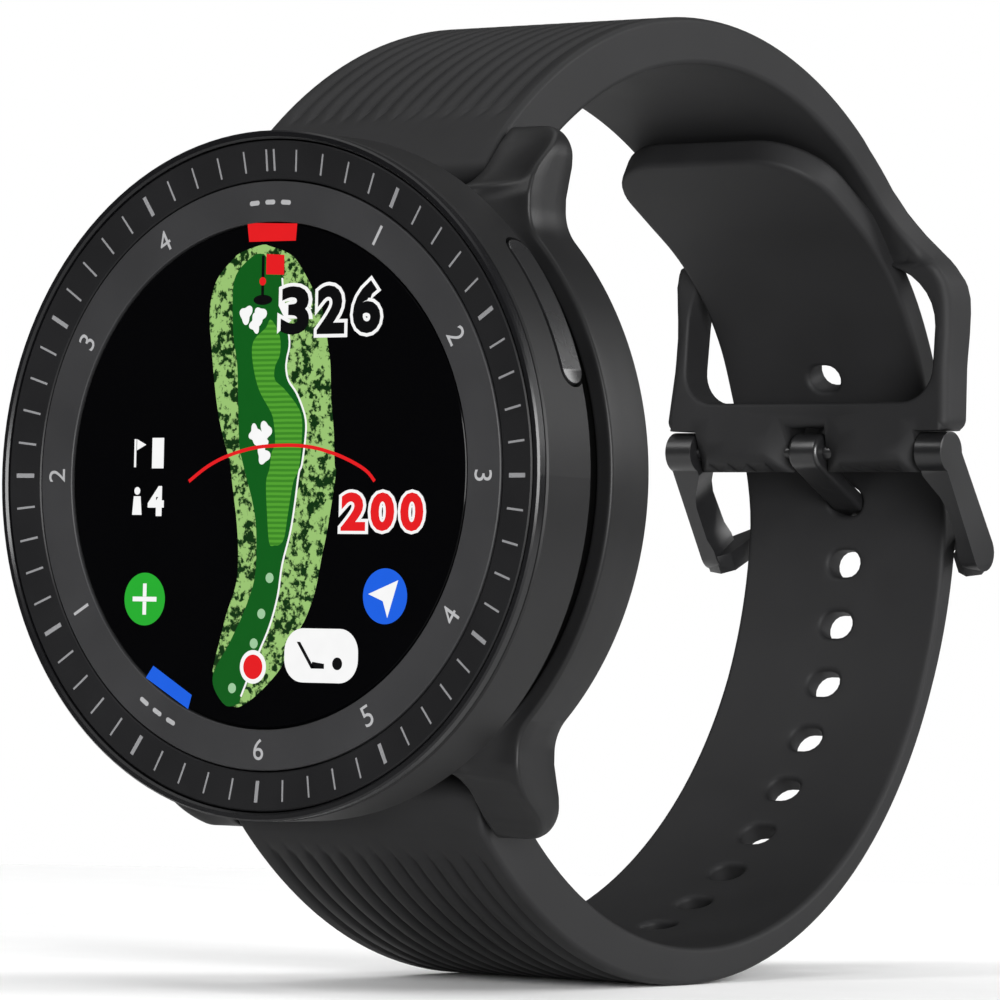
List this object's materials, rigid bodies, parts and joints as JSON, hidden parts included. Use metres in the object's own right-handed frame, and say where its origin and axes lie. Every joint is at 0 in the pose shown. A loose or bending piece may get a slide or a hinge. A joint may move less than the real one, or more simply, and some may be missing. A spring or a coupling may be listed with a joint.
{
  "type": "golf gps watch",
  "caption": "Round golf GPS watch with a graduated bezel, four short lugs and a two-piece silicone strap closed on a pin buckle.",
  "frame": {"origin": "centre of the flat case back, on the face that rests on the wrist", "axes": "+Y out of the case back, through the wrist opening to the buckle, so the dial faces -Y; +Z towards the 12 o'clock mark; +X towards the 3 o'clock mark"},
  "size_m": [0.046, 0.0754, 0.068],
  "materials": {
    "case_plastic": "fine matte, dark grey",
    "frame_plastic": "fine matte, dark grey",
    "back_plastic": "satin, near black",
    "button_plastic": "matte, dark grey",
    "rim_metal": "black satin coating",
    "bezel_plastic": "matte, dark grey with light marks",
    "number_ring": "matte, dark grey with light numerals",
    "cover_glass": "gloss, black border over the display",
    "display": "gloss",
    "seal_rubber": "matte",
    "flex_film": "satin",
    "inner_plastic": "matte",
    "circuit_board": "satin solder mask",
    "ceramic": "matte fired ceramic",
    "battery_pouch": "satin foil",
    "steel": "satin",
    "switch_plastic": "matte",
    "gold_contact": "polished gold plate",
    "strap_silicone": "matte silicone",
    "buckle_black": "satin black coating"
  },
  "bodies": {
    "case": {"case_barrel": "case_plastic", "bezel_rim": "rim_metal", "minute_bezel": "bezel_plastic", "number_ring": "number_ring", "cover_glass": "cover_glass", "glass_gasket": "seal_rubber", "display_panel": "display", "display_flex": "flex_film", "inner_chassis": "inner_plastic", "main_board": "circuit_board", "gps_antenna": "ceramic", "battery": "battery_pouch", "vibration_motor": "steel", "button_switch": "switch_plastic", "button_seal": "seal_rubber", "lug_frame": "frame_plastic", "case_back": "back_plastic", "back_seal": "seal_rubber", "back_screws": "steel", "charging_contacts": "gold_contact"},
    "button": {"side_button": "button_plastic", "button_clip": "steel"},
    "upper_strap": {"buckle_strap": "strap_silicone", "upper_bar_tube": "steel", "upper_bar_spring": "steel"},
    "upper_release": {"upper_bar_plunger": "steel"},
    "lower_strap": {"hole_strap": "strap_silicone", "lower_bar_tube": "steel", "lower_bar_spring": "steel"},
    "lower_release": {"lower_bar_plunger": "steel"},
    "buckle": {"buckle_frame": "buckle_black", "buckle_pin": "steel"},
    "tongue": {"buckle_tongue": "buckle_black"}
  },
  "joints": [
    {"name": "button_press", "type": "slide", "parent": "case", "child": "button", "axis": [-0.8746, 0, -0.4848], "range_m": [0, 0.0005], "stiffness_N_per_m": 2000},
    {"name": "upper_strap_hinge", "type": "hinge", "parent": "case", "child": "upper_strap", "pos_m": [0, -0.0016, 0.0208], "axis": [1, 0, 0], "range_deg": [0, 55]},
    {"name": "upper_release_slide", "type": "slide", "parent": "upper_strap", "child": "upper_release", "axis": [-1, 0, 0], "range_m": [0, 0.0013], "stiffness_N_per_m": 1200, "deforming": ["upper_bar_spring"]},
    {"name": "lower_strap_hinge", "type": "hinge", "parent": "case", "child": "lower_strap", "pos_m": [0, -0.0016, -0.0208], "axis": [-1, 0, 0], "range_deg": [0, 55], "deforming": ["hole_strap"]},
    {"name": "lower_release_slide", "type": "slide", "parent": "lower_strap", "child": "lower_release", "axis": [-1, 0, 0], "range_m": [0, 0.0013], "stiffness_N_per_m": 1200, "deforming": ["lower_bar_spring"]},
    {"name": "buckle_hinge", "type": "hinge", "parent": "upper_strap", "child": "buckle", "pos_m": [0, 0.0519, 0.0041], "axis": [1, 0, 0], "range_deg": [0, 55]},
    {"name": "tongue_hinge", "type": "hinge", "parent": "buckle", "child": "tongue", "pos_m": [0, 0.0519, 0.0041], "axis": [1, 0, 0], "range_deg": [0, 20]}
  ]
}
